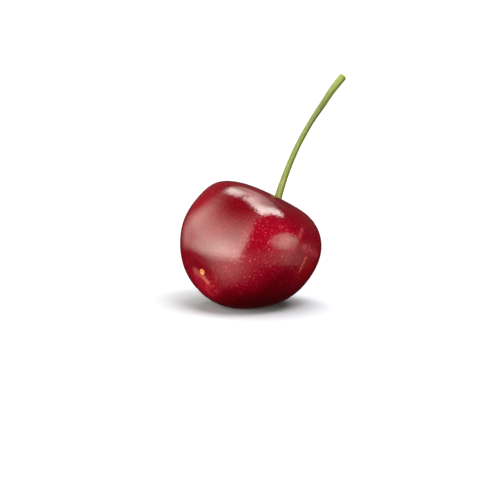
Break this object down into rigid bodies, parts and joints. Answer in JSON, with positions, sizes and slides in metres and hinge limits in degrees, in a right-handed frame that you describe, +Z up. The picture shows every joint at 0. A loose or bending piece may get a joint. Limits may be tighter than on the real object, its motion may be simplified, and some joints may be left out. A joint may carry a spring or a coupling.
{
  "type": "sweet cherry on its stalk",
  "caption": "Round, heart-shaped red cherry lying on its side, with a slender curved green stalk rising from the deep hollow at its stem end.",
  "frame": {"origin": "middle of the small flat under the fruit, where it rests on the surface, below its centre of mass", "axes": "+Z up; the stalk leaves the fruit towards +X and +Y and rises; the style end points to -X and -Y; +Y is away from a viewer in front"},
  "size_m": [0.034, 0.0389, 0.0437],
  "materials": {
    "cherry_skin": "gloss",
    "green_stalk": "satin"
  },
  "bodies": {
    "root": {"fruit": "cherry_skin", "stalk": "green_stalk"}
  },
  "joints": []
}
